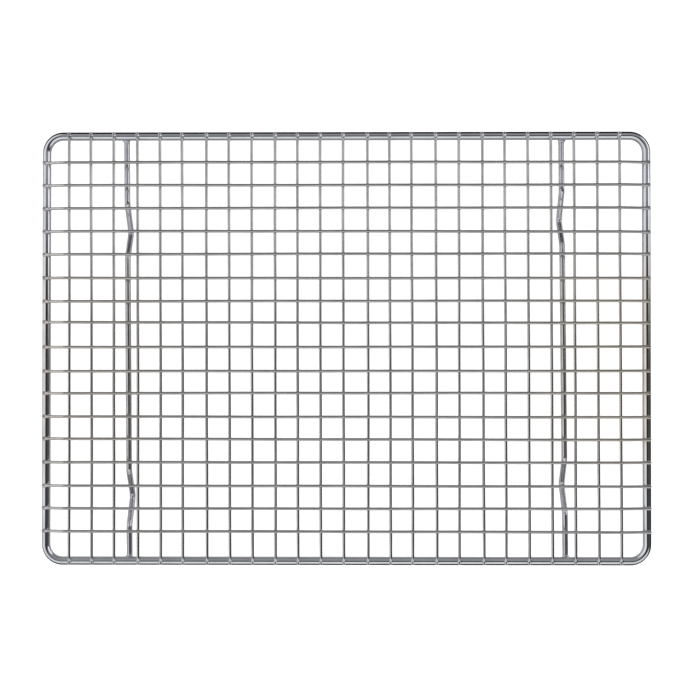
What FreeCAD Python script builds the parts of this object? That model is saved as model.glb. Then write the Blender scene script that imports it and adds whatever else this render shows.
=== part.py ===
"""Wire cooling rack: a welded mesh on a bent rim, standing on two bars with V-shaped feet.

Frame: +X along the long side, +Y across the rack, +Z up. The origin is on the table surface,
under the middle of the rim. Millimetres and degrees.

The rack is 45 lengths of round wire. Each is made to its full section first. Where two wires
are resistance welded, one sinks into the other by weld_setdown, so the upper or thinner wire
is then cut by the one that it sits on, and the two solids meet face to face.
"""

import FreeCAD, Part
from collections import namedtuple
import math
import os

import Sketcher

SHEET = "Dimensions"

DIMENSIONS = {
    # Whole rack, over the outside of the rim and from the table to the top wires
    "overall_length": 419.1,
    "overall_width": 298.4,
    "overall_height": 25.4,
    # Rim: one wire, bent round four corners. The radius is the centreline's.
    "rim_dia": 5.8,
    "rim_corner_radius": 11.5,
    # Mesh: square openings. The mat is welded on a little off the rim's middle.
    "mesh_dia": 2.0,
    "mesh_pitch": 15.8,
    "mesh_shift_x": -1.2,
    "mesh_shift_y": 0.9,
    "cross_wire_count": 25,
    "long_wire_count": 17,
    # Wire ends: short of the rim's outer edge, with the cut edge rounded off
    "wire_end_inset": 0.5,
    "wire_end_rounding": 0.3,
    # Long wires step down from the upper layer to the rim, past the outermost cross wires
    "press_bend_radius": 6.0,
    "press_bend_clearance": 2.5,
    "press_landing": 2.6,
    # How far two wires sink into each other at a weld
    "weld_setdown": 0.25,
    # Foot bars: under the gaps between the third and fourth cross wires from each end. Both
    # lean the same way, by an angle.
    "bar_dia": 4.0,
    "bar_spacing": 301.2,
    "bar_shift_x": -0.4,
    "bar_lean": 0.48,
    "bar_end_inset": 0.5,
    "bar_end_rounding": 0.4,
    # V-shaped feet, two on each bar. A shift is how far a bar's pair is off the rack's middle.
    "foot_spacing": 185.0,
    "foot_half_width": 20.5,
    "foot_tip_radius": 5.0,
    "foot_shoulder_radius": 6.0,
    "left_feet_shift": -11.0,
    "right_feet_shift": -2.7,
}


def cell(name):
    """The expression that reads one cell of the sheet."""
    return f"{SHEET}.{name}"


# Levels above the table, as expressions of the sheet
LONG_LEVEL = f"({cell('overall_height')} - {cell('mesh_dia')} / 2)"
PRESS_DROP = f"({cell('mesh_dia')} - {cell('weld_setdown')})"
CROSS_LEVEL = f"({LONG_LEVEL} - {PRESS_DROP})"
RIM_LEVEL = f"({CROSS_LEVEL} - ({cell('mesh_dia')} + {cell('rim_dia')}) / 2 + {cell('weld_setdown')})"
BAR_LEVEL = f"({RIM_LEVEL} - ({cell('rim_dia')} + {cell('bar_dia')}) / 2 + {cell('weld_setdown')})"
FOOT_DEPTH = f"({BAR_LEVEL} - {cell('bar_dia')} / 2)"

# Half sizes of the rim's centreline
RIM_HALF_LENGTH = f"(({cell('overall_length')} - {cell('rim_dia')}) / 2)"
RIM_HALF_WIDTH = f"(({cell('overall_width')} - {cell('rim_dia')}) / 2)"

# How far each kind of wire reaches from the rack's middle
LONG_REACH = f"({cell('overall_length')} / 2 - {cell('wire_end_inset')})"
CROSS_REACH = f"({cell('overall_width')} / 2 - {cell('wire_end_inset')})"
BAR_REACH = f"({cell('overall_width')} / 2 - {cell('bar_end_inset')})"

# A stretch of a path in a sketch: its geometry, and its two ends in the path's direction
Stretch = namedtuple("Stretch", "index entry leave")
LINE_START, LINE_END, ARC_CENTRE = 1, 2, 3
ORIGIN = (-1, 1)
HORIZONTAL_AXIS = -1


# ---------------------------------------------------------------- sheet, bodies and sketches

def make_sheet(doc):
    """Puts each driving dimension in a row: its name, and its value under an alias."""
    sheet = doc.addObject("Spreadsheet::Sheet", SHEET)
    for row, (name, value) in enumerate(DIMENSIONS.items(), start=1):
        sheet.set(f"A{row}", name)
        sheet.set(f"B{row}", str(value))
        sheet.setAlias(f"B{row}", name)
    doc.recompute()


def value_of(doc, expression):
    """The number that an expression of the sheet comes to."""
    return float(doc.getObject(SHEET).evalExpression(expression))


def new_body(doc, label):
    """An empty body with a label of its own."""
    body = doc.addObject("PartDesign::Body", label)
    body.Label = label
    return body


def new_sketch(body, name, role):
    """A sketch on one of its body's origin planes, found by its role."""
    planes = {feature.Role: feature for feature in body.Origin.OriginFeatures}
    sketch = body.newObject("Sketcher::SketchObject", name)
    sketch.AttachmentSupport = (planes[role], "")
    sketch.MapMode = "FlatFace"
    return sketch


def place(feature, **expressions):
    """Binds the x, y or z of a body's placement to the sheet."""
    for axis, expression in expressions.items():
        feature.setExpression(f"Placement.Base.{axis}", expression)


def add_bound(sketch, name, expression, *reference):
    """Adds a named dimension to a sketch and binds it to the sheet."""
    value = value_of(sketch.Document, expression)
    index = sketch.addConstraint(Sketcher.Constraint(*reference, value))
    sketch.renameConstraint(index, name)
    sketch.setExpression(f"Constraints.{name}", expression)


def add_circle(sketch, diameter):
    """A circle on the sketch's origin, its diameter bound to the sheet."""
    radius = value_of(sketch.Document, diameter) / 2
    centre = FreeCAD.Vector(0, 0, 0)
    circle = sketch.addGeometry(Part.Circle(centre, FreeCAD.Vector(0, 0, 1), radius))
    sketch.addConstraint(Sketcher.Constraint("Coincident", circle, ARC_CENTRE, *ORIGIN))
    add_bound(sketch, "section", diameter, "Diameter", circle)


# ---------------------------------------------------------------- paths made of runs and arcs

def add_line(sketch, start, end):
    """A straight stretch of a path."""
    index = sketch.addGeometry(Part.LineSegment(start, end))
    return Stretch(index, LINE_START, LINE_END)


def add_arc(sketch, centre, start, end, clockwise):
    """A round stretch of a path. A sketch holds an arc counter-clockwise, so one that the
    path follows clockwise is entered at its end."""
    first, last = (end, start) if clockwise else (start, end)
    angles = [math.atan2(tip.y - centre.y, tip.x - centre.x) for tip in (first, last)]
    circle = Part.Circle(centre, FreeCAD.Vector(0, 0, 1), (start - centre).Length)
    index = sketch.addGeometry(Part.ArcOfCircle(circle, *angles))
    if clockwise:
        return Stretch(index, LINE_END, LINE_START)
    return Stretch(index, LINE_START, LINE_END)


def add_step(sketch, start, end, radii):
    """A step from one level to another: an arc, a slope and an arc, tangent to each other and
    level at both ends."""
    first_radius, second_radius = radii
    both = first_radius + second_radius
    run = end.x - start.x
    drop = start.y - end.y
    down = math.copysign(1, drop)
    rise_of_centres = both - abs(drop)
    slope_length = math.sqrt(run ** 2 + rise_of_centres ** 2 - both ** 2)
    angle = math.atan2(both, slope_length) - math.atan2(rise_of_centres, run)
    normal = FreeCAD.Vector(math.sin(angle), down * math.cos(angle), 0)
    first_centre = start - FreeCAD.Vector(0, down * first_radius, 0)
    second_centre = end + FreeCAD.Vector(0, down * second_radius, 0)
    slope_start = first_centre + normal * first_radius
    slope_end = second_centre - normal * second_radius
    return [
        add_arc(sketch, first_centre, start, slope_start, clockwise=down > 0),
        add_line(sketch, slope_start, slope_end),
        add_arc(sketch, second_centre, slope_end, end, clockwise=down < 0),
    ]


def join(sketch, stretches):
    """Makes each stretch of a path tangent to the next."""
    for before, after in zip(stretches, stretches[1:]):
        sketch.addConstraint(
            Sketcher.Constraint("Tangent", before.index, before.leave, after.index, after.entry)
        )


def lay_level(sketch, run):
    """Keeps a straight stretch level."""
    sketch.addConstraint(Sketcher.Constraint("Horizontal", run.index))


def lay_on_axis(sketch, run):
    """Keeps a straight stretch on the sketch's horizontal axis."""
    lay_level(sketch, run)
    sketch.addConstraint(Sketcher.Constraint("PointOnObject", run.index, run.entry, HORIZONTAL_AXIS))


def set_across(sketch, name, expression, stretch_index, position):
    """Binds how far across a point of a path is."""
    add_bound(sketch, name, expression, "DistanceX", *ORIGIN, stretch_index, position)


def set_radii(sketch, name, step, radii):
    """Binds the two radii of a step."""
    for arc, end_name, radius in ((step[0], "first", radii[0]), (step[2], "second", radii[1])):
        add_bound(sketch, f"{name}_{end_name}_radius", radius, "Radius", arc.index)


# ---------------------------------------------------------------- wires

def sweep(body, path, section):
    """A wire of one section along a path."""
    pipe = body.newObject("PartDesign::AdditivePipe", "Wire")
    pipe.Profile = section
    pipe.Spine = path
    body.Document.recompute()
    return pipe


def round_ends(body, wire, radius):
    """Rounds the sharp edge that cutting leaves at each end of a wire: the edges between its
    flat end faces and its round side."""
    flat_ends = [face for face in wire.Shape.Faces if isinstance(face.Surface, Part.Plane)]
    names = []
    for number, edge in enumerate(wire.Shape.Edges, start=1):
        if any(edge.isSame(rim) for face in flat_ends for rim in face.Edges):
            names.append(f"Edge{number}")
    fillet = body.newObject("PartDesign::Fillet", "RoundedEnds")
    fillet.Base = (wire, names)
    fillet.setExpression("Radius", radius)
    body.Document.recompute()


def cut(doc, label, blank, tool):
    """A wire whose weld seats are cut by what it sits on."""
    seated = doc.addObject("Part::Cut", label)
    seated.Label = label
    seated.Base = blank
    seated.Tool = tool
    return seated


def make_rim(doc):
    """The rim: a rounded rectangle whose wire starts and ends at the middle of one long side,
    where it is butt welded."""
    body = new_body(doc, "rim_wire")
    place(body, z=RIM_LEVEL)

    half_length = value_of(doc, RIM_HALF_LENGTH)
    half_width = value_of(doc, RIM_HALF_WIDTH)
    radius = value_of(doc, cell("rim_corner_radius"))
    inner_length = half_length - radius
    inner_width = half_width - radius

    path = new_sketch(body, "Path", "XY_Plane")
    butt = FreeCAD.Vector(0, -half_width, 0)
    stretches = [add_line(path, butt, FreeCAD.Vector(inner_length, -half_width, 0))]
    # Counter-clockwise from the corner at +X and -Y: each corner, then the side after it
    corners = [(1, -1), (1, 1), (-1, 1), (-1, -1)]
    side_ends = [
        FreeCAD.Vector(half_length, inner_width, 0),
        FreeCAD.Vector(-inner_length, half_width, 0),
        FreeCAD.Vector(-half_length, -inner_width, 0),
        butt,
    ]
    for (along, across), side_end in zip(corners, side_ends):
        centre = FreeCAD.Vector(along * inner_length, across * inner_width, 0)
        on_long_side = centre + FreeCAD.Vector(0, across * radius, 0)
        on_short_side = centre + FreeCAD.Vector(along * radius, 0, 0)
        enters_long = along * across < 0
        start, end = (on_long_side, on_short_side) if enters_long else (on_short_side, on_long_side)
        stretches.append(add_arc(path, centre, start, end, clockwise=False))
        stretches.append(add_line(path, end, side_end))
    join(path, stretches)

    first, last = stretches[0], stretches[-1]
    right, back, left = stretches[2], stretches[4], stretches[6]
    path.addConstraint(Sketcher.Constraint("Coincident", last.index, last.leave, first.index, first.entry))
    for side in (first, back, last):
        lay_level(path, side)
    for side in (left, right):
        path.addConstraint(Sketcher.Constraint("Vertical", side.index))
    set_across(path, "butt_weld", "0", first.index, first.entry)
    set_across(path, "right_side", RIM_HALF_LENGTH, right.index, right.entry)
    set_across(path, "left_side", f"-{RIM_HALF_LENGTH}", left.index, left.entry)
    add_bound(path, "front_side", f"-{RIM_HALF_WIDTH}", "DistanceY", *ORIGIN, first.index, first.entry)
    add_bound(path, "back_side", RIM_HALF_WIDTH, "DistanceY", *ORIGIN, back.index, back.entry)
    for number, corner in enumerate(stretches[1::2], start=1):
        add_bound(path, f"corner_{number}", cell("rim_corner_radius"), "Radius", corner.index)

    section = new_sketch(body, "Section", "YZ_Plane")
    section.setExpression("AttachmentOffset.Base.x", f"-{RIM_HALF_WIDTH}")
    add_circle(section, cell("rim_dia"))
    sweep(body, path, section)
    return body


def make_cross_wire(doc, number, rim):
    """A straight wire of the lower layer, laid across both long sides of the rim."""
    label = f"cross_wire_{number:02d}"
    body = new_body(doc, f"{label}_blank")
    steps_from_middle = f"({number} - ({cell('cross_wire_count')} + 1) / 2)"
    place(body, x=f"{cell('mesh_shift_x')} + {steps_from_middle} * {cell('mesh_pitch')}", z=CROSS_LEVEL)

    section = new_sketch(body, "Section", "XZ_Plane")
    add_circle(section, cell("mesh_dia"))
    wire = body.newObject("PartDesign::Pad", "Wire")
    wire.Profile = section
    wire.SideType = "Symmetric"
    wire.setExpression("Length", f"2 * {CROSS_REACH}")
    doc.recompute()
    round_ends(body, wire, cell("wire_end_rounding"))
    return cut(doc, label, body, rim)


def make_long_wire(doc, number, supports):
    """A wire of the upper layer. It runs level over every cross wire, and each end steps down
    and lands on the rim's crest."""
    label = f"long_wire_{number:02d}"
    body = new_body(doc, f"{label}_blank")
    steps_from_middle = f"({number} - ({cell('long_wire_count')} + 1) / 2)"
    place(body, y=f"{cell('mesh_shift_y')} + {steps_from_middle} * {cell('mesh_pitch')}", z=LONG_LEVEL)

    outermost_cross_wire = f"({cell('cross_wire_count')} - 1) / 2 * {cell('mesh_pitch')}"
    level_reach = f"({outermost_cross_wire} + {cell('press_bend_clearance')})"
    across = {
        "left_end": f"-{LONG_REACH}",
        "left_landing": f"-({RIM_HALF_LENGTH} - {cell('press_landing')})",
        "left_bend": f"{cell('mesh_shift_x')} - {level_reach}",
        "right_bend": f"{cell('mesh_shift_x')} + {level_reach}",
        "right_landing": f"{RIM_HALF_LENGTH} - {cell('press_landing')}",
        "right_end": LONG_REACH,
    }
    landing_level = -value_of(doc, PRESS_DROP)
    spots = {}
    for name, expression in across.items():
        level = 0 if name.endswith("bend") else landing_level
        spots[name] = FreeCAD.Vector(value_of(doc, expression), level, 0)

    path = new_sketch(body, "Path", "XZ_Plane")
    bend = cell("press_bend_radius")
    radii = (value_of(doc, bend), value_of(doc, bend))
    left_end = add_line(path, spots["left_end"], spots["left_landing"])
    left_step = add_step(path, spots["left_landing"], spots["left_bend"], radii)
    top = add_line(path, spots["left_bend"], spots["right_bend"])
    right_step = add_step(path, spots["right_bend"], spots["right_landing"], radii)
    right_end = add_line(path, spots["right_landing"], spots["right_end"])
    join(path, [left_end, *left_step, top, *right_step, right_end])
    lay_on_axis(path, top)
    for name, run in (("left", left_end), ("right", right_end)):
        lay_level(path, run)
        add_bound(path, f"{name}_level", f"-{PRESS_DROP}", "DistanceY", *ORIGIN, run.index, run.entry)
    for name, run, position in (
        ("left_end", left_end, left_end.entry),
        ("left_landing", left_end, left_end.leave),
        ("left_bend", top, top.entry),
        ("right_bend", top, top.leave),
        ("right_landing", right_end, right_end.entry),
        ("right_end", right_end, right_end.leave),
    ):
        set_across(path, name, across[name], run.index, position)
    set_radii(path, "left", left_step, (bend, bend))
    set_radii(path, "right", right_step, (bend, bend))

    section = new_sketch(body, "Section", "YZ_Plane")
    section.setExpression("AttachmentOffset.Base.y", f"-{PRESS_DROP}")
    section.setExpression("AttachmentOffset.Base.z", f"-{LONG_REACH}")
    add_circle(section, cell("mesh_dia"))
    wire = sweep(body, path, section)
    round_ends(body, wire, cell("wire_end_rounding"))
    return cut(doc, label, body, supports)


def make_foot_bar(doc, side, rim):
    """A bar across the underside of the rim, bent down into two V-shaped feet."""
    label = f"{side}_foot_bar"
    body = new_body(doc, f"{label}_blank")
    direction = {"left": "-", "right": ""}[side]
    place(body, x=f"{cell('bar_shift_x')} + {direction}{cell('bar_spacing')} / 2", z=BAR_LEVEL)
    body.Placement.Rotation = FreeCAD.Rotation(FreeCAD.Vector(0, 0, 1), DIMENSIONS["bar_lean"])
    body.setExpression("Placement.Rotation.Angle", f"{cell('bar_lean')} * 1 deg")

    path = new_sketch(body, "Path", "YZ_Plane")
    depth = value_of(doc, FOOT_DEPTH)
    radius_cells = (cell("foot_shoulder_radius"), cell("foot_tip_radius"))
    radii = tuple(value_of(doc, radius) for radius in radius_cells)
    stretches = []
    runs = []
    run_start = f"-{BAR_REACH}"
    for foot, toward in (("front", "-"), ("back", "+")):
        middle = f"{cell(side + '_feet_shift')} {toward} {cell('foot_spacing')} / 2"
        start = f"{middle} - {cell('foot_half_width')}"
        end = f"{middle} + {cell('foot_half_width')}"
        start_spot = FreeCAD.Vector(value_of(doc, start), 0, 0)
        tip_spot = FreeCAD.Vector(value_of(doc, middle), -depth, 0)
        end_spot = FreeCAD.Vector(value_of(doc, end), 0, 0)
        run = add_line(path, FreeCAD.Vector(value_of(doc, run_start), 0, 0), start_spot)
        down = add_step(path, start_spot, tip_spot, radii)
        up = add_step(path, tip_spot, end_spot, radii[::-1])
        stretches += [run, *down, *up]
        runs.append((run, run_start, start))
        set_radii(path, f"{foot}_down", down, radius_cells)
        set_radii(path, f"{foot}_up", up, radius_cells[::-1])
        tip = down[-1]
        set_across(path, f"{foot}_tip", middle, tip.index, tip.leave)
        add_bound(path, f"{foot}_depth", f"-{FOOT_DEPTH}", "DistanceY", *ORIGIN, tip.index, tip.leave)
        path.addConstraint(
            Sketcher.Constraint("Vertical", tip.index, ARC_CENTRE, tip.index, tip.leave)
        )
        run_start = end
    last_spots = [FreeCAD.Vector(value_of(doc, spot), 0, 0) for spot in (run_start, BAR_REACH)]
    last = add_line(path, *last_spots)
    stretches.append(last)
    runs.append((last, run_start, BAR_REACH))
    join(path, stretches)
    for number, (run, start, end) in enumerate(runs, start=1):
        lay_on_axis(path, run)
        set_across(path, f"run_{number}_start", start, run.index, run.entry)
        set_across(path, f"run_{number}_end", end, run.index, run.leave)

    section = new_sketch(body, "Section", "XZ_Plane")
    section.setExpression("AttachmentOffset.Base.z", BAR_REACH)
    add_circle(section, cell("bar_dia"))
    bar = sweep(body, path, section)
    round_ends(body, bar, cell("bar_end_rounding"))
    return cut(doc, label, body, rim)


# ---------------------------------------------------------------- checks and export

def check_document(doc):
    """Stops if a feature failed or a sketch is left free to move."""
    for feature in doc.Objects:
        if {"Invalid", "Error"} & set(feature.State):
            raise RuntimeError(f"{feature.Label}: {feature.State}")
        if feature.TypeId == "Sketcher::SketchObject" and feature.solve() != 0:
            raise RuntimeError(f"{feature.Label}: sketch not solved")


def check_node(node):
    """Stops unless a node is one sound solid, and its weld seats took material away."""
    shape = node.Shape
    if shape.isNull() or not shape.isValid() or len(shape.Solids) != 1:
        raise RuntimeError(f"{node.Label}: not one valid solid")
    if node.TypeId == "Part::Cut" and not shape.Volume < node.Base.Shape.Volume - 0.01:
        raise RuntimeError(f"{node.Label}: no seat was cut")


def main():
    doc = FreeCAD.newDocument("CoolingRack")
    make_sheet(doc)

    rim = make_rim(doc)
    cross_wires = [
        make_cross_wire(doc, number + 1, rim) for number in range(DIMENSIONS["cross_wire_count"])
    ]
    supports = doc.addObject("Part::Compound", "RimAndCrossWires")
    supports.Links = [rim, *cross_wires]
    long_wires = [
        make_long_wire(doc, number + 1, supports) for number in range(DIMENSIONS["long_wire_count"])
    ]
    bars = [make_foot_bar(doc, side, rim) for side in ("left", "right")]
    doc.recompute()

    nodes = [rim, *cross_wires, *long_wires, *bars]
    check_document(doc)
    for node in nodes:
        check_node(node)

    os.makedirs("parts", exist_ok=True)
    for node in nodes:
        node.Shape.exportStep(f"parts/{node.Label}.step")
    print(f"{len(nodes)} nodes written")


main()
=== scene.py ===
"""The looks of a chrome-plated wire cooling rack: drawn wires, pressed ends, welds and plating."""

import math
import random

import bmesh
import bpy
from mathutils import Euler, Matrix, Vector


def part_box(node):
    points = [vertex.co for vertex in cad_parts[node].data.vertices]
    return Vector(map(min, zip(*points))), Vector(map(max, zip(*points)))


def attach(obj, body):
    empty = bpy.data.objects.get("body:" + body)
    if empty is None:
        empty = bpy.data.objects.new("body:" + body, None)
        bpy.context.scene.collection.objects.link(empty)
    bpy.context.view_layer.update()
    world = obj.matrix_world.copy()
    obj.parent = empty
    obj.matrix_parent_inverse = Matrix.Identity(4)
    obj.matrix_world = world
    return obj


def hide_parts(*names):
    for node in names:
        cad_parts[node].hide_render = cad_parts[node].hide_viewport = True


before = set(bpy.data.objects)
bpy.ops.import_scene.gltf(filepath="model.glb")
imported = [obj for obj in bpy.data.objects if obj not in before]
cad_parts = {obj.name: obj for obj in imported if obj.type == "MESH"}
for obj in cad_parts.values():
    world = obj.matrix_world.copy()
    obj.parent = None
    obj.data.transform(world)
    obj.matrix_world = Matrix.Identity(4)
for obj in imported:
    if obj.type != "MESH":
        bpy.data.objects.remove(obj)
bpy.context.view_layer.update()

MM = 0.001
SEED = 20

CROSS_NODES = [f"cross_wire_{number:02d}" for number in range(1, 26)]
LONG_NODES = [f"long_wire_{number:02d}" for number in range(1, 18)]

# The CAD's wire sizes and bends.
MESH_RADIUS = 1.0 * MM
BAR_RADIUS = 2.0 * MM
RIM_RADIUS = 2.9 * MM
RIM_CORNER_RADIUS = 11.5 * MM
WELD_SINK = 0.25 * MM
STEP_BEND_RADIUS = 6.0 * MM
STEP_CLEARANCE = 2.5 * MM
STEP_LANDING = 2.6 * MM
BAR_LEAN = math.radians(0.48)
FOOT_SPACING = 185.0 * MM
FOOT_HALF_WIDTH = 20.5 * MM
FOOT_TIP_RADIUS = 5.0 * MM
FOOT_SHOULDER_RADIUS = 6.0 * MM
FEET_SHIFT = {"left": -11.0 * MM, "right": -2.7 * MM}

# How far the hand-fed, machine-welded mesh wires stray from the drawing.
PLACE_ERROR = 0.42 * MM
PLACE_ERROR_LIMIT = 0.85 * MM
BOW = 0.22 * MM
RIPPLE = 0.25 * BOW
RIPPLE_TURN = 2.6 * math.pi
CROSS_LEAN = math.radians(0.17)
LEAN_ERROR = math.radians(0.05)

# The pressed ends: the electrode spreads and flattens a mesh wire over the rim. Its middle sinks
# by a share of the half height that it loses.
PRESS_WIDTH = 1.3
PRESS_HEIGHT = 0.78
PRESS_SINK = 0.6
PRESS_LENGTH = 4.6 * MM
PRESS_BLEND = 2.2 * MM

# The flat that the electrode leaves on the right shoulder of a cross wire's pressed end.
FLAT_REACH = (1.2 * MM, 3.6 * MM)
FLAT_TILT = math.radians(33.0)
FLAT_TURN = math.radians(24.0)
FLAT_DEPTH = 0.52

# The wires' tips: how long the rounding is, and the least width at the tip, as a share of the
# wire's. A foot bar is sawn, so it is only bevelled, down to shares of its own, and it stops a
# little short, so that its leaning end stays inside the CAD's box.
MESH_DOME = 0.75 * MM
BAR_DOME = 0.6 * MM
TIP_FACE = 0.12
BAR_BEVEL = 0.7
BAR_FACE = 0.6
BAR_END_GAP = 0.02 * MM

# How finely the wires are divided. The end rings are distances from the tip, in millimetres.
MESH_SIDES = 24
BAR_SIDES = 32
RIM_SIDES = 48
MESH_END_RINGS = (
    0.0, 0.02, 0.08, 0.18, 0.32, 0.5, 0.75,
    1.1, 1.6, 2.1, 2.6, 3.1, 3.6, 4.1, 4.6, 5.1, 5.8, 6.8,
)
BAR_END_RINGS = (0.0, 0.03, 0.1, 0.22, 0.38, 0.6)
BAR_END_LENGTH = 0.7 * MM
CROSS_MIDDLE_RINGS = 30
LONG_MIDDLE_RINGS = 40
LONG_STEP_RINGS = 25
LONG_STEP_LENGTH = 12.0 * MM
RIM_CORNER_RINGS = 25
RIM_RING_GAP = 12.0 * MM
BAR_RING_GAP = 3.0 * MM
STEP_ARC_POINTS = 9
FOOT_ARC_POINTS = 12
UV_PER_METRE = 100.0

# The weld fillets: the gap between two wires that each kind still bridges, from the least to the
# most, and the fillet's throat as a share of it. A fillet spreads sideways to at most a share of
# each wire's radius. Its edges are buried in the wires, and its core reaches into both.
MESH_WELD_EDGE = (0.12 * MM, 0.24 * MM)
RIM_WELD_EDGE = (0.2 * MM, 0.4 * MM)
BAR_WELD_EDGE = (0.7 * MM, 0.9 * MM)
WELD_THROAT = 0.3
WELD_SIDES = 20
WELD_SPREAD = 0.98
WELD_BURY = 0.03 * MM
WELD_CORE = 0.4 * MM

# The bead of squeezed metal beside each foot bar's weld: half sizes along X, Y and Z, and its
# lumps, each a count round the bead and a size.
BEAD_HALF_SIZES = (2.7 * MM, 1.7 * MM, 1.1 * MM)
BEAD_UNDER_RIM = 0.4 * MM
BEAD_DROP = 0.5 * MM
BEAD_LUMPS = ((3.0, 0.12), (5.0, 0.08))
BEAD_SIDES = 20
BEAD_STACKS = 10

# The plating, seen close: noise scales per metre for the clouds and the pits, and per centimetre
# across and along the wire for the draw lines. A cloud's edge lies between two values of its
# noise, and the plate is fully worn where clouds and draw lines multiply to WORN_AT.
CLOUD_SCALE = 55.0
CLOUD_EDGE = (0.35, 0.68)
PIT_SCALE = 1500.0
DRAW_LINE_SCALE = (90.0, 1.6, 1.0)
WORN_AT = 0.7

# A painted reflection: a warm straw tint multiplied into the plate by place, standing in for warm
# surroundings mirrored in the chrome. It fades along Y from a middle line, and towards the rack's
# middle from its right and left sides, the left side less.
PAINTED_REFLECTION_TINT = (1.06, 0.97, 0.86, 1.0)
REFLECTION_TINT_MIDDLE_Y = -12.0 * MM
REFLECTION_TINT_FADE_Y = (40.0 * MM, 100.0 * MM)
REFLECTION_TINT_RIGHT_X = (70.0 * MM, 200.0 * MM)
REFLECTION_TINT_LEFT_X = (-170.0 * MM, -80.0 * MM)
REFLECTION_TINT_LEFT_SHARE = 0.6

# Each finish: its plate, the plate in its cloudy patches, and its least and most roughness.
FINISHES = {
    "rim_chrome": ((0.61, 0.63, 0.665), (0.54, 0.56, 0.595), (0.05, 0.14)),
    "mesh_chrome": ((0.5, 0.502, 0.507), (0.42, 0.422, 0.427), (0.07, 0.17)),
    "foot_chrome": ((0.6, 0.61, 0.655), (0.52, 0.53, 0.575), (0.07, 0.17)),
}

# The room as a wire sees it. Each soft panel is painted over the ones before it: the way it
# lies (azimuth from +X, tilt from straight up), its half width and half height, how far it is
# shifted sideways and how soft its edge is, all in degrees, then its light and its tint.
SOFT_PANELS = {
    "right wall": {
        "azimuth": 0, "tilt": 46, "half": (11, 50), "shift": -5, "soft": 3,
        "light": 0.11, "tint": (1.0, 0.94, 0.86),
    },
    "dark corner": {
        "azimuth": -22, "tilt": 58, "half": (18, 30), "shift": 0, "soft": 6,
        "light": 0.09, "tint": (0.96, 0.98, 1.0),
    },
    "camera": {
        "azimuth": 0, "tilt": 3, "half": (11, 15), "shift": -5, "soft": 3,
        "light": 0.02, "tint": (1.0, 1.0, 1.0),
    },
    "front softbox": {
        "azimuth": -90, "tilt": 49, "half": (56, 28), "shift": 0, "soft": 4,
        "light": 1.08, "tint": (1.0, 1.0, 1.0),
    },
    "left softbox": {
        "azimuth": 180, "tilt": 62, "half": (60, 40), "shift": 0, "soft": 6,
        "light": 1.08, "tint": (1.0, 1.0, 1.0),
    },
    "right window": {
        "azimuth": 26, "tilt": 75, "half": (21, 24), "shift": 0, "soft": 3,
        "light": 1.9, "tint": (1.0, 1.0, 1.0),
    },
}

# The rest of the room: its light above and below the horizon, which is a soft band between two
# heights of a direction, and the light that the camera sees past the floor.
CEILING_LIGHT = 0.4
TABLE_LIGHT = 0.48
HORIZON = (-0.25, 0.1)
BACKDROP_LIGHT = 1.1

# The floor: a matt grey that also glows, which makes it white in the render.
FLOOR_RADIUS = 12.0
FLOOR_SIDES = 96
FLOOR_GREY = 0.88
FLOOR_GLOW = 0.66

# The black cards: where they start and end, from the rack's middle, and the strips that stand
# behind and in front of it, each a Y and a height.
CARD_LIGHT = 0.01
CARD_INNER_X = 0.228
CARD_INNER_Y = 0.168
CARD_OUTER = 1.2
CARD_LIFT = 0.5 * MM
CARD_STRIPS = ((0.26, 0.08), (-0.26, 0.05))

CAMERA_LENS = 63.6
CAMERA_PLACE = (0.00996, -0.01045, 0.8709)
CAMERA_TURN = (math.radians(0.617), math.radians(0.483), 0.0)


# ---------------------------------------------------------------- shapes

def smooth(value, low, high):
    """0 below low, 1 above high, and an eased slope between them."""
    share = min(max((value - low) / (high - low), 0.0), 1.0)
    return share * share * (3.0 - 2.0 * share)


def spread(low, high, count):
    """count values from low to high, both included."""
    return [low + (high - low) * step / (count - 1) for step in range(count)]


def step_line(start, end, first_radius, second_radius, arc_points):
    """Points from one level stretch to another: an arc, a straight slope and an arc back.
    start and end are (distance, height) pairs, and both ends leave level."""
    run = end[0] - start[0]
    drop = start[1] - end[1]
    way = 1.0 if drop >= 0 else -1.0
    drop = abs(drop)
    both = first_radius + second_radius
    centres = math.hypot(run, both - drop)
    slope = math.asin(both / centres) - math.atan2(both - drop, run)
    points = []
    for turn in spread(0.0, slope, arc_points):
        points.append((
            start[0] + first_radius * math.sin(turn),
            start[1] - way * first_radius * (1.0 - math.cos(turn)),
        ))
    for turn in spread(slope, 0.0, arc_points):
        points.append((
            end[0] - second_radius * math.sin(turn),
            end[1] + way * second_radius * (1.0 - math.cos(turn)),
        ))
    return points


def fill_gaps(points, longest):
    """Adds even points on every stretch longer than longest."""
    filled = [points[0]]
    for before, after in zip(points, points[1:]):
        length = math.dist(before, after)
        pieces = max(1, math.ceil(length / longest))
        for piece in range(1, pieces + 1):
            share = piece / pieces
            filled.append(tuple(a + (b - a) * share for a, b in zip(before, after)))
    return filled


def ring_directions(centres, index, closed):
    """The sideways and upward directions of the ring round one point of a wire's middle line."""
    if closed:
        before = centres[index - 1]
        after = centres[(index + 1) % len(centres)]
    else:
        before = centres[max(index - 1, 0)]
        after = centres[min(index + 1, len(centres) - 1)]
    ahead = (after - before).normalized()
    side = ahead.cross(Vector((0, 0, 1))).normalized()
    return side, side.cross(ahead)


def distances_along(points):
    """How far along the line each of its points is."""
    along = [0.0]
    for before, after in zip(points, points[1:]):
        along.append(along[-1] + (after - before).length)
    return along


def add_face(bm, corners):
    """A smooth-shaded face."""
    face = bm.faces.new(corners)
    face.smooth = True
    return face


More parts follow.
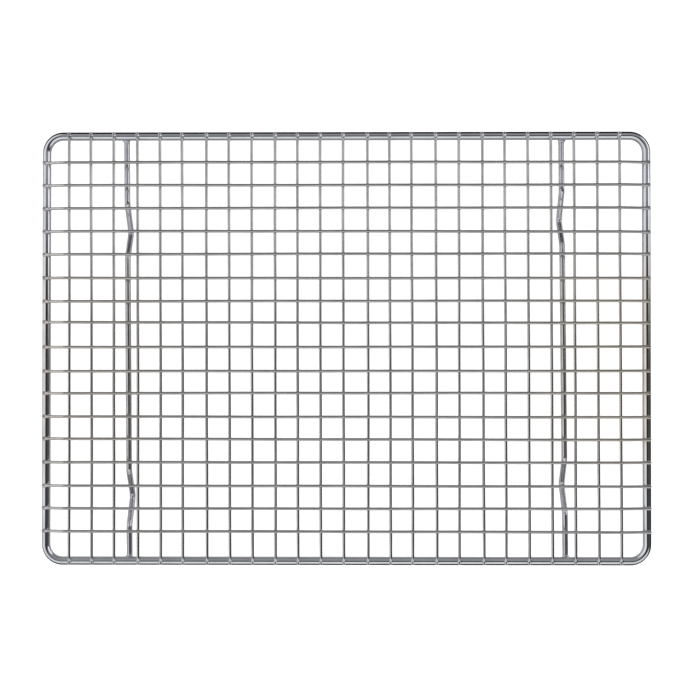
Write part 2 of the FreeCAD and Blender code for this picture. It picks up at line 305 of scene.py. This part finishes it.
def tube(name, centres, sections, sides, closed=False, shape=None):
    """A smooth tube through the centres. A section is its half width and half height there.
    The seam of the surface coordinates runs along the underside. shape may move a ring's
    corners: it is given the ring's number and a corner's offset, and gives the new offset."""
    bm = bmesh.new()
    surface = bm.loops.layers.uv.new("wire")
    rings = []
    for index, centre in enumerate(centres):
        side, up = ring_directions(centres, index, closed)
        half_width, half_height = sections[index]
        ring = []
        for corner in range(sides):
            turn = 2.0 * math.pi * corner / sides - math.pi / 2.0
            offset = side * (half_width * math.cos(turn)) + up * (half_height * math.sin(turn))
            if shape:
                offset = shape(index, offset)
            ring.append(bm.verts.new(centre + offset))
        rings.append(ring)
    along = distances_along(centres)
    if closed:
        rings.append(rings[0])
        along.append(along[-1] + (centres[0] - centres[-1]).length)
    round_length = 2.0 * math.pi * max(half_width for half_width, _ in sections)
    for index in range(len(rings) - 1):
        near, far = rings[index], rings[index + 1]
        start, end = along[index], along[index + 1]
        for corner in range(sides):
            following = (corner + 1) % sides
            left = round_length * corner / sides
            right = round_length * (corner + 1) / sides
            face = add_face(bm, (near[corner], near[following], far[following], far[corner]))
            places = ((left, start), (right, start), (right, end), (left, end))
            for loop, (across, ahead) in zip(face.loops, places):
                loop[surface].uv = (across * UV_PER_METRE, ahead * UV_PER_METRE)
    if not closed:
        for ring, centre in ((rings[0], centres[0]), (rings[-1], centres[-1])):
            middle = bm.verts.new(centre)
            for corner in range(sides):
                add_face(bm, (ring[corner], ring[(corner + 1) % sides], middle))
    return finish_mesh(name, bm)


def finish_mesh(name, bm):
    """Turns the faces outward and gives the object."""
    bmesh.ops.recalc_face_normals(bm, faces=bm.faces)
    mesh = bpy.data.meshes.new(name)
    bm.to_mesh(mesh)
    bm.free()
    piece = bpy.data.objects.new(name, mesh)
    bpy.context.scene.collection.objects.link(piece)
    return piece


def domed(distance, radius):
    """How wide a rounded wire end is at a distance from its tip, as a share of the wire."""
    if distance >= radius:
        return 1.0
    inward = 1.0 - distance / radius
    return max(math.sqrt(max(1.0 - inward * inward, 0.0)), TIP_FACE)


def end_places(half_length):
    """Distances along a mesh wire, from its middle, closer together where its ends are shaped."""
    return [half_length - distance * MM for distance in MESH_END_RINGS]


# ---------------------------------------------------------------- the rack's own layout

class MeshWire:
    """Where one straight mesh wire really runs: its place, its lean and its slight bow."""

    def __init__(self, place, half_length, lean, dice):
        stray = dice.gauss(0.0, PLACE_ERROR)
        self.place = place + min(max(stray, -PLACE_ERROR_LIMIT), PLACE_ERROR_LIMIT)
        self.half_length = half_length
        self.lean = lean + dice.gauss(0.0, LEAN_ERROR)
        self.bow = dice.uniform(-BOW, BOW)
        self.wave = dice.uniform(0.0, 2.0 * math.pi)

    def across(self, distance):
        """The wire's sideways place at a distance along it."""
        share = distance / self.half_length
        arch = self.bow * (1.0 - share * share)
        ripple = RIPPLE * math.sin(RIPPLE_TURN * share + self.wave)
        return self.place - math.tan(self.lean) * distance + arch + ripple


def node_middle(node):
    """The middle of a CAD node's box."""
    low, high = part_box(node)
    return (low + high) / 2.0


def press(distance_from_end):
    """1 where the electrode pressed the wire's end, 0 on the free wire."""
    return 1.0 - smooth(distance_from_end, PRESS_LENGTH - PRESS_BLEND, PRESS_LENGTH)


def mesh_section(distance_from_end):
    """Half width and half height of a mesh wire near its end."""
    pressed = press(distance_from_end)
    dome = domed(distance_from_end, MESH_DOME)
    half_width = MESH_RADIUS * (1.0 + (PRESS_WIDTH - 1.0) * pressed) * dome
    half_height = MESH_RADIUS * (1.0 + (PRESS_HEIGHT - 1.0) * pressed) * dome
    return half_width, half_height


def press_sink(distance_from_end):
    """How far a pressed end's middle sits below the free wire's."""
    return PRESS_SINK * (1.0 - PRESS_HEIGHT) * MESH_RADIUS * press(distance_from_end)


def make_cross_wire(node, wire, level):
    """A lower mesh wire, straight along Y, welded to the rim at both ends. A flat on the right
    shoulder of each pressed end catches the light."""
    facing = Vector((
        math.sin(FLAT_TILT) * math.cos(FLAT_TURN),
        math.sin(FLAT_TILT) * math.sin(FLAT_TURN),
        math.cos(FLAT_TILT),
    ))
    flat_middle = sum(FLAT_REACH) / 2.0
    ends = end_places(wire.half_length)
    inner = ends[-1]
    between = spread(-inner, inner, CROSS_MIDDLE_RINGS)[1:-1]
    places = [-place for place in ends] + between + ends[::-1]
    centres = []
    sections = []
    for place in places:
        from_end = wire.half_length - abs(place)
        centres.append(Vector((wire.across(place), place, level - press_sink(from_end))))
        sections.append(mesh_section(from_end))

    def flatten(index, offset):
        from_end = wire.half_length - abs(places[index])
        if not FLAT_REACH[0] <= from_end <= FLAT_REACH[1]:
            return offset
        along = math.copysign(flat_middle - from_end, places[index])
        proud = offset.dot(facing) + along * facing.y - FLAT_DEPTH * MESH_RADIUS
        return offset - facing * proud if proud > 0.0 else offset

    piece = tube(node + "_plated", centres, sections, MESH_SIDES, shape=flatten)
    dress(piece, node, "mesh_chrome")


def long_wire_height(distance, cross_reach, top_level, rim_half):
    """A long wire's middle at a distance along it: level over the mesh, down to the rim."""
    side_middle, side_reach = cross_reach
    bend = abs(side_middle + math.copysign(side_reach + STEP_CLEARANCE, distance))
    landing = rim_half - STEP_LANDING
    low_level = top_level - 2.0 * MESH_RADIUS + WELD_SINK
    place = abs(distance)
    if place <= bend:
        return top_level
    if place >= landing:
        return low_level
    start = (bend, top_level)
    end = (landing, low_level)
    slope = step_line(start, end, STEP_BEND_RADIUS, STEP_BEND_RADIUS, STEP_ARC_POINTS)
    for before, after in zip(slope, slope[1:]):
        if before[0] <= place <= after[0] and after[0] > before[0]:
            share = (place - before[0]) / (after[0] - before[0])
            return before[1] + (after[1] - before[1]) * share
    return low_level


def make_long_wire(node, wire, level, cross_reach, rim_half):
    """An upper mesh wire along X. It rests on the cross wires and its ends step down to the rim."""
    ends = end_places(wire.half_length)
    inner = ends[-1]
    steps = spread(inner, inner - LONG_STEP_LENGTH, LONG_STEP_RINGS)[1:]
    last = steps[-1]
    half = ends + steps
    between = spread(-last, last, LONG_MIDDLE_RINGS)[1:-1]
    places = [-place for place in half] + between + half[::-1]
    centres = []
    sections = []
    for place in places:
        from_end = wire.half_length - abs(place)
        height = long_wire_height(place, cross_reach, level, rim_half) - press_sink(from_end)
        centres.append(Vector((place, wire.across(place), height)))
        sections.append(mesh_section(from_end))
    piece = tube(node + "_plated", centres, sections, MESH_SIDES)
    dress(piece, node, "mesh_chrome")


def rim_path(half_length, half_width):
    """The rim's middle line, counter-clockwise, as (x, y) pairs."""
    points = []
    corners = ((1, -1, -90), (1, 1, 0), (-1, 1, 90), (-1, -1, 180))
    for side_x, side_y, start in corners:
        centre_x = side_x * (half_length - RIM_CORNER_RADIUS)
        centre_y = side_y * (half_width - RIM_CORNER_RADIUS)
        for turn in spread(start, start + 90.0, RIM_CORNER_RINGS):
            angle = math.radians(turn)
            points.append((
                centre_x + RIM_CORNER_RADIUS * math.cos(angle),
                centre_y + RIM_CORNER_RADIUS * math.sin(angle),
            ))
    return fill_gaps(points + [points[0]], RIM_RING_GAP)[:-1]


def make_rim(half_length, half_width, level):
    """The thick closed wire round the mesh."""
    centres = [Vector((x, y, level)) for x, y in rim_path(half_length, half_width)]
    sections = [(RIM_RADIUS, RIM_RADIUS)] * len(centres)
    piece = tube("rim_wire_plated", centres, sections, RIM_SIDES, closed=True)
    dress(piece, "rim_wire", "rim_chrome")


def bar_profile(side, reach, level):
    """A foot bar's middle line as (distance along, height) pairs."""
    points = [(-reach, level)]
    for toward in (-1.0, 1.0):
        foot = FEET_SHIFT[side] + toward * FOOT_SPACING / 2.0
        before = (foot - FOOT_HALF_WIDTH, level)
        tip = (foot, BAR_RADIUS)
        after = (foot + FOOT_HALF_WIDTH, level)
        down = step_line(before, tip, FOOT_SHOULDER_RADIUS, FOOT_TIP_RADIUS, FOOT_ARC_POINTS)
        up = step_line(tip, after, FOOT_TIP_RADIUS, FOOT_SHOULDER_RADIUS, FOOT_ARC_POINTS)
        points += down + up[1:]
    points.append((reach, level))
    return points


def bar_spot(place_x, distance, height):
    """A point on a leaning foot bar."""
    return Vector((
        place_x - math.sin(BAR_LEAN) * distance,
        math.cos(BAR_LEAN) * distance,
        height,
    ))


def bar_radius(distance_from_end):
    """A foot bar's radius near its sawn and bevelled end."""
    share = domed(distance_from_end, BAR_DOME)
    if share <= TIP_FACE:
        return BAR_RADIUS * BAR_FACE
    return BAR_RADIUS * (BAR_BEVEL + (1.0 - BAR_BEVEL) * share)


def make_foot_bar(side, place_x, reach, level):
    """A bar under the rim with two V-shaped feet and bevelled ends."""
    profile = fill_gaps(bar_profile(side, reach, level), BAR_RING_GAP)
    inner = [point for point in profile if abs(point[0]) < reach - BAR_END_LENGTH]
    start = [(-reach + distance * MM, level) for distance in BAR_END_RINGS]
    end = [(reach - distance * MM, level) for distance in reversed(BAR_END_RINGS)]
    centres = []
    sections = []
    for distance, height in start + inner + end:
        centres.append(bar_spot(place_x, distance, height))
        radius = bar_radius(reach - abs(distance))
        sections.append((radius, radius))
    piece = tube(side + "_foot_bar_plated", centres, sections, BAR_SIDES)
    dress(piece, side + "_foot_bar", "foot_chrome")


# ---------------------------------------------------------------- welds

def add_skin(bm, first, rings, last):
    """Faces over a closed form: a point, the rings from there on, and a point at the far end."""
    count = len(rings[0])
    for step in range(count):
        following = (step + 1) % count
        add_face(bm, (first, rings[0][following], rings[0][step]))
        add_face(bm, (last, rings[-1][step], rings[-1][following]))
        for near, far in zip(rings, rings[1:]):
            add_face(bm, (near[step], near[following], far[following], far[step]))


def add_weld(bm, spot, lower, upper, edge):
    """The fillet of squeezed metal round one crossing. lower and upper are (radius, heading)
    of the two wires, and edge is the gap between them that the fillet still bridges."""
    lower_radius, lower_heading = lower
    upper_radius, upper_heading = upper
    lower_middle = spot.z - lower_radius + WELD_SINK / 2.0
    upper_middle = spot.z + upper_radius - WELD_SINK / 2.0
    below_spot = Vector((spot.x, spot.y, 0.0))
    rings = ([], [], [])
    for step in range(WELD_SIDES):
        turn = 2.0 * math.pi * step / WELD_SIDES
        off_lower = math.sin(turn - lower_heading)
        off_upper = math.sin(turn - upper_heading)
        falling = off_lower ** 2 / (2.0 * lower_radius) + off_upper ** 2 / (2.0 * upper_radius)
        outer = math.sqrt((WELD_SINK + edge) / falling)
        throat = math.sqrt((WELD_SINK + WELD_THROAT * edge) / falling)
        heights = []
        for reach in (outer, throat):
            lower_drop = min(abs(off_lower) * reach, WELD_SPREAD * lower_radius)
            upper_rise = min(abs(off_upper) * reach, WELD_SPREAD * upper_radius)
            low = lower_middle + math.sqrt(lower_radius ** 2 - lower_drop ** 2)
            high = upper_middle - math.sqrt(upper_radius ** 2 - upper_rise ** 2)
            heights.append((low, high))
        (low, high), (throat_low, throat_high) = heights
        places = (
            (outer, low - WELD_BURY),
            (throat, (throat_low + throat_high) / 2.0),
            (outer, high + WELD_BURY),
        )
        ahead = Vector((math.cos(turn), math.sin(turn), 0.0))
        for ring, (reach, height) in zip(rings, places):
            ring.append(bm.verts.new(below_spot + ahead * reach + Vector((0, 0, height))))
    bottom = bm.verts.new(spot - Vector((0, 0, WELD_CORE)))
    top = bm.verts.new(spot + Vector((0, 0, WELD_CORE)))
    add_skin(bm, bottom, rings, top)


def make_mesh_welds(cross_wires, long_wires, level, dice):
    """One small fillet where each long wire crosses each cross wire."""
    bm = bmesh.new()
    lower = (MESH_RADIUS, math.pi / 2.0)
    upper = (MESH_RADIUS, 0.0)
    for long_wire in long_wires:
        for cross_wire in cross_wires:
            y = long_wire.across(cross_wire.place)
            x = cross_wire.across(y)
            y = long_wire.across(x)
            add_weld(bm, Vector((x, y, level)), lower, upper, dice.uniform(*MESH_WELD_EDGE))
    piece = finish_mesh("mesh_welds", bm)
    dress(piece, None, "mesh_chrome")


def make_rim_welds(cross_wires, long_wires, rim_half_length, rim_half_width, level, dice):
    """The fillets under the pressed ends, on the rim's crest."""
    bm = bmesh.new()
    along_x, along_y = 0.0, math.pi / 2.0
    for toward in (-1.0, 1.0):
        for wire in cross_wires:
            place = toward * rim_half_width
            spot = Vector((wire.across(place), place, level))
            lower, upper = (RIM_RADIUS, along_x), (MESH_RADIUS, along_y)
            add_weld(bm, spot, lower, upper, dice.uniform(*RIM_WELD_EDGE))
        for wire in long_wires:
            place = toward * rim_half_length
            spot = Vector((place, wire.across(place), level))
            lower, upper = (RIM_RADIUS, along_y), (MESH_RADIUS, along_x)
            add_weld(bm, spot, lower, upper, dice.uniform(*RIM_WELD_EDGE))
    piece = finish_mesh("rim_welds", bm)
    dress(piece, None, "rim_chrome")


def add_bead(bm, middle, half_sizes, dice):
    """A lumpy bead of metal that was squeezed out of a weld."""
    phases = [dice.uniform(0.0, 2.0 * math.pi) for _ in BEAD_LUMPS]
    rings = []
    for tilt in spread(0.0, math.pi, BEAD_STACKS + 1)[1:-1]:
        ring = []
        for step in range(BEAD_SIDES):
            turn = 2.0 * math.pi * step / BEAD_SIDES
            lumps = zip(BEAD_LUMPS, phases)
            lump = sum(size * math.sin(count * turn + phase) for (count, size), phase in lumps)
            swell = 1.0 + lump * math.sin(tilt)
            direction = (
                math.sin(tilt) * math.cos(turn) * swell,
                math.sin(tilt) * math.sin(turn) * swell,
                math.cos(tilt),
            )
            offset = Vector([half * share for half, share in zip(half_sizes, direction)])
            ring.append(bm.verts.new(middle + offset))
        rings.append(ring)
    top = bm.verts.new(middle + Vector((0.0, 0.0, half_sizes[2])))
    bottom = bm.verts.new(middle - Vector((0.0, 0.0, half_sizes[2])))
    add_skin(bm, top, rings, bottom)


def make_bar_welds(bar_places, rim_half_width, level, dice):
    """The heavier fillets where the foot bars meet the rim from below, each with a bead that
    shows inside the rim."""
    bm = bmesh.new()
    lower = (BAR_RADIUS, math.pi / 2.0 + BAR_LEAN)
    upper = (RIM_RADIUS, 0.0)
    inner_edge = rim_half_width - RIM_RADIUS + BEAD_UNDER_RIM
    for place_x in bar_places:
        for toward in (-1.0, 1.0):
            spot = bar_spot(place_x, toward * rim_half_width, level)
            add_weld(bm, spot, lower, upper, dice.uniform(*BAR_WELD_EDGE))
            middle = bar_spot(place_x, toward * inner_edge, level - BEAD_DROP)
            add_bead(bm, middle, BEAD_HALF_SIZES, dice)
    piece = finish_mesh("bar_welds", bm)
    dress(piece, None, "foot_chrome")


# ---------------------------------------------------------------- materials

def new_node(tree, kind, inputs=None, **settings):
    """A node with its settings and its inputs: an input is a number, a colour or another socket."""
    node = tree.nodes.new(kind)
    for setting, value in settings.items():
        setattr(node, setting, value)
    for key, value in (inputs or {}).items():
        if isinstance(value, bpy.types.NodeSocket):
            tree.links.new(value, node.inputs[key])
        else:
            node.inputs[key].default_value = value
    return node


def calculate(tree, operation, *values):
    """The result of a Math node."""
    inputs = dict(enumerate(values))
    return new_node(tree, "ShaderNodeMath", inputs, operation=operation).outputs["Value"]


def project(tree, direction, axis):
    """How far a direction goes along an axis."""
    inputs = {0: direction, 1: axis}
    dot = new_node(tree, "ShaderNodeVectorMath", inputs, operation="DOT_PRODUCT")
    return dot.outputs["Value"]


def ease(tree, value, low, high, at_low=0.0, at_high=1.0):
    """at_low below low, at_high above high, and an eased slope between them."""
    return new_node(tree, "ShaderNodeMapRange", {
        "Value": value, "From Min": low, "From Max": high, "To Min": at_low, "To Max": at_high,
    }, interpolation_type="SMOOTHSTEP").outputs["Result"]


def grey(level):
    """A colour without a tint."""
    return (level, level, level, 1.0)


def empty_material(name):
    """A material without nodes, and its tree."""
    material = bpy.data.materials.new(name)
    material.use_nodes = True
    material.node_tree.nodes.clear()
    return material, material.node_tree


def painted_reflection_share(tree, place):
    """How strongly the painted reflection, a warm tint, colours the plate: the middle of the right
    side, and less of the left.
    """
    parts = new_node(tree, "ShaderNodeSeparateXYZ", {0: place}).outputs
    from_middle = calculate(tree, "SUBTRACT", parts["Y"], REFLECTION_TINT_MIDDLE_Y)
    away = calculate(tree, "ABSOLUTE", from_middle)
    along = ease(tree, away, *REFLECTION_TINT_FADE_Y, 1.0, 0.0)
    right = ease(tree, parts["X"], *REFLECTION_TINT_RIGHT_X)
    left = ease(tree, parts["X"], *REFLECTION_TINT_LEFT_X, REFLECTION_TINT_LEFT_SHARE, 0.0)
    sides = calculate(tree, "ADD", right, left)
    return calculate(tree, "MULTIPLY", sides, along)


def plated_wire(name, plate, shade, roughness):
    """Bright plate on drawn wire: cloudy plating with a painted reflection, a warm tint, in places,
    fine draw lines along the wire, small pits."""
    material, tree = empty_material(name)
    coordinates = new_node(tree, "ShaderNodeTexCoord").outputs
    cloud = new_node(tree, "ShaderNodeTexNoise", {
        "Vector": coordinates["Object"], "Scale": CLOUD_SCALE, "Detail": 3.0, "Roughness": 0.6,
    })
    patches = ease(tree, cloud.outputs["Fac"], *CLOUD_EDGE)
    stretched = new_node(tree, "ShaderNodeMapping", {
        "Vector": coordinates["UV"], "Scale": DRAW_LINE_SCALE,
    })
    draw_lines = new_node(tree, "ShaderNodeTexNoise", {
        "Vector": stretched.outputs["Vector"], "Scale": 1.0, "Detail": 4.0, "Roughness": 0.65,
    }).outputs["Fac"]
    pits = new_node(tree, "ShaderNodeTexNoise", {
        "Vector": coordinates["Object"], "Scale": PIT_SCALE, "Detail": 2.0,
    }).outputs["Fac"]
    colour = new_node(tree, "ShaderNodeMix", {
        "Factor": patches, "A": (*plate, 1.0), "B": (*shade, 1.0),
    }, data_type="RGBA")
    # Painted reflection: a warm tint multiplied into the plate by place, standing in for warm
    # surroundings mirrored in the chrome.
    reflection_tinted = new_node(tree, "ShaderNodeMix", {
        "Factor": painted_reflection_share(tree, coordinates["Object"]),
        "A": colour.outputs["Result"], "B": PAINTED_REFLECTION_TINT,
    }, data_type="RGBA", blend_type="MULTIPLY")
    gloss = new_node(tree, "ShaderNodeMapRange", {
        "Value": calculate(tree, "MULTIPLY", draw_lines, patches),
        "From Min": 0.0, "From Max": WORN_AT, "To Min": roughness[0], "To Max": roughness[1],
    })
    lines_bump = new_node(tree, "ShaderNodeBump", {
        "Height": draw_lines, "Strength": 0.12, "Distance": 0.02 * MM,
    })
    pits_bump = new_node(tree, "ShaderNodeBump", {
        "Height": pits, "Strength": 0.1, "Distance": 0.03 * MM,
        "Normal": lines_bump.outputs["Normal"],
    })
    shader = new_node(tree, "ShaderNodeBsdfPrincipled", {
        "Base Color": reflection_tinted.outputs["Result"], "Metallic": 1.0,
        "Roughness": gloss.outputs["Result"], "Normal": pits_bump.outputs["Normal"],
    })
    new_node(tree, "ShaderNodeOutputMaterial", {"Surface": shader.outputs["BSDF"]})
    return material


MATERIALS = {slot: plated_wire(slot, *finish) for slot, finish in FINISHES.items()}


def dress(piece, node, slot):
    """Gives a piece the material named for its slot and its body, and hides the CAD node that it stands
    for.
    """
    piece.data.materials.append(MATERIALS[slot])
    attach(piece, "root")
    if node:
        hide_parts(node)


# ---------------------------------------------------------------- studio

def panel_mask(tree, direction, panel):
    """1 inside a soft panel and 0 outside it, for the direction that a ray takes."""
    azimuth = math.radians(panel["azimuth"])
    tilt = math.radians(panel["tilt"])
    toward = Vector((
        math.sin(tilt) * math.cos(azimuth),
        math.sin(tilt) * math.sin(azimuth),
        math.cos(tilt),
    ))
    right = Vector((-math.sin(azimuth), math.cos(azimuth), 0.0))
    up = toward.cross(right)
    depth = project(tree, direction, toward)
    shares = []
    for axis, half, shift in zip((right, up), panel["half"], (panel["shift"], 0.0)):
        angle = calculate(tree, "ARCTAN2", project(tree, direction, axis), depth)
        centred = calculate(tree, "SUBTRACT", angle, math.radians(shift))
        away = calculate(tree, "ABSOLUTE", centred)
        inside = math.radians(half - panel["soft"])
        outside = math.radians(half + panel["soft"])
        shares.append(ease(tree, away, inside, outside, 1.0, 0.0))
    return calculate(tree, "MULTIPLY", *shares)


def make_world():
    """The soft panels as the light, and plain white where the camera looks past the floor."""
    world = bpy.data.worlds.new("studio")
    world.use_nodes = True
    bpy.context.scene.world = world
    tree = world.node_tree
    tree.nodes.clear()
    direction = new_node(tree, "ShaderNodeTexCoord").outputs["Generated"]
    height = new_node(tree, "ShaderNodeSeparateXYZ", {0: direction}).outputs["Z"]
    colour = new_node(tree, "ShaderNodeMix", {
        "Factor": ease(tree, height, *HORIZON), "A": grey(TABLE_LIGHT), "B": grey(CEILING_LIGHT),
    }, data_type="RGBA").outputs["Result"]
    for panel in SOFT_PANELS.values():
        lit = [panel["light"] * channel for channel in panel["tint"]]
        colour = new_node(tree, "ShaderNodeMix", {
            "Factor": panel_mask(tree, direction, panel), "A": colour, "B": (*lit, 1.0),
        }, data_type="RGBA").outputs["Result"]
    room = new_node(tree, "ShaderNodeBackground", {"Color": colour})
    plain = new_node(tree, "ShaderNodeBackground", {
        "Color": grey(1.0), "Strength": BACKDROP_LIGHT,
    })
    path = new_node(tree, "ShaderNodeLightPath")
    shown = new_node(tree, "ShaderNodeMixShader", {
        0: path.outputs["Is Camera Ray"], 1: room.outputs["Background"], 2: plain.outputs["Background"],
    })
    new_node(tree, "ShaderNodeOutputWorld", {"Surface": shown.outputs["Shader"]})


def make_floor():
    """A wide white table top, bright enough that the thin wires leave only a trace of shadow.
    Its underside is clear, so that the rack can be looked at from below."""
    bm = bmesh.new()
    bmesh.ops.create_circle(bm, cap_ends=True, segments=FLOOR_SIDES, radius=FLOOR_RADIUS)
    floor = finish_mesh("floor", bm)
    material, tree = empty_material("floor_white")
    matt = new_node(tree, "ShaderNodeBsdfDiffuse", {"Color": grey(FLOOR_GREY)})
    glow = new_node(tree, "ShaderNodeEmission", {"Color": grey(1.0), "Strength": FLOOR_GLOW})
    both = new_node(tree, "ShaderNodeAddShader", {0: matt.outputs["BSDF"], 1: glow.outputs["Emission"]})
    clear = new_node(tree, "ShaderNodeBsdfTransparent")
    geometry = new_node(tree, "ShaderNodeNewGeometry")
    one_sided = new_node(tree, "ShaderNodeMixShader", {
        0: geometry.outputs["Backfacing"], 1: both.outputs["Shader"], 2: clear.outputs["BSDF"],
    })
    new_node(tree, "ShaderNodeOutputMaterial", {"Surface": one_sided.outputs["Shader"]})
    floor.data.materials.append(material)
    floor.visible_glossy = False


def make_black_cards():
    """Black card flat on the table behind, in front and to the right of the rack, and a strip
    that stands behind it and one in front. They are seen only in the chrome, and draw the dark
    outlines that keep bright wire readable on a white table."""
    bm = bmesh.new()
    flats = (
        ((-CARD_OUTER, CARD_INNER_Y), (CARD_OUTER, CARD_OUTER)),
        ((-CARD_OUTER, -CARD_OUTER), (CARD_OUTER, -CARD_INNER_Y)),
        ((CARD_INNER_X, -CARD_INNER_Y), (CARD_OUTER, CARD_INNER_Y)),
    )
    for (left, front), (right, back) in flats:
        corners = ((left, front), (right, front), (right, back), (left, back))
        bm.faces.new([bm.verts.new((x, y, CARD_LIFT)) for x, y in corners])
    for strip_y, top in CARD_STRIPS:
        low_edge = ((-CARD_OUTER, CARD_LIFT), (CARD_OUTER, CARD_LIFT))
        high_edge = ((CARD_OUTER, top), (-CARD_OUTER, top))
        bm.faces.new([bm.verts.new((x, strip_y, z)) for x, z in low_edge + high_edge])
    cards = finish_mesh("black_cards", bm)
    material, tree = empty_material("black_card")
    glow = new_node(tree, "ShaderNodeEmission", {"Color": grey(CARD_LIGHT)})
    new_node(tree, "ShaderNodeOutputMaterial", {"Surface": glow.outputs["Emission"]})
    cards.data.materials.append(material)
    cards.visible_camera = False
    cards.visible_diffuse = False
    cards.visible_shadow = False


def make_camera():
    """Nearly straight down from 0.87 m, a little off the rack's middle."""
    data = bpy.data.cameras.new("camera")
    data.sensor_width = 36.0
    data.lens = CAMERA_LENS
    data.clip_start = 0.01
    data.clip_end = 100.0
    camera = bpy.data.objects.new("camera", data)
    camera.location = CAMERA_PLACE
    camera.rotation_euler = Euler(CAMERA_TURN)
    bpy.context.scene.collection.objects.link(camera)
    bpy.context.scene.camera = camera
    bpy.context.scene.view_settings.view_transform = "Standard"


# ---------------------------------------------------------------- the whole rack

def make_rack():
    """Every wire where the CAD's boxes put it, layer by layer, and then the welds."""
    dice = random.Random(SEED)
    rim_low, rim_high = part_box("rim_wire")
    rim_half_length = (rim_high.x - rim_low.x) / 2.0 - RIM_RADIUS
    rim_half_width = (rim_high.y - rim_low.y) / 2.0 - RIM_RADIUS
    rim_level = (rim_high.z + rim_low.z) / 2.0
    make_rim(rim_half_length, rim_half_width, rim_level)

    cross_level = rim_level + RIM_RADIUS + MESH_RADIUS - WELD_SINK
    long_level = cross_level + 2.0 * MESH_RADIUS - WELD_SINK
    cross_wires = []
    for node in CROSS_NODES:
        low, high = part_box(node)
        wire = MeshWire((low.x + high.x) / 2.0, (high.y - low.y) / 2.0, CROSS_LEAN, dice)
        make_cross_wire(node, wire, cross_level)
        cross_wires.append(wire)
    first = node_middle(CROSS_NODES[0]).x
    last = node_middle(CROSS_NODES[-1]).x
    cross_reach = ((first + last) / 2.0, (last - first) / 2.0)
    long_wires = []
    for node in LONG_NODES:
        low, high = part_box(node)
        wire = MeshWire((low.y + high.y) / 2.0, (high.x - low.x) / 2.0, 0.0, dice)
        make_long_wire(node, wire, long_level, cross_reach, rim_half_length)
        long_wires.append(wire)

    bar_level = rim_level - RIM_RADIUS - BAR_RADIUS + WELD_SINK
    bar_places = []
    for side in ("left", "right"):
        low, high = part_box(side + "_foot_bar")
        place_x = (low.x + high.x) / 2.0
        reach = (high.y - low.y) / 2.0 - BAR_END_GAP
        make_foot_bar(side, place_x, reach, bar_level)
        bar_places.append(place_x)

    weld_drop = WELD_SINK / 2.0
    make_mesh_welds(cross_wires, long_wires, cross_level + MESH_RADIUS - weld_drop, dice)
    make_rim_welds(
        cross_wires, long_wires, rim_half_length, rim_half_width,
        rim_level + RIM_RADIUS - weld_drop, dice)
    make_bar_welds(bar_places, rim_half_width, bar_level + BAR_RADIUS - weld_drop, dice)


make_rack()
make_world()
make_floor()
make_black_cards()
make_camera()
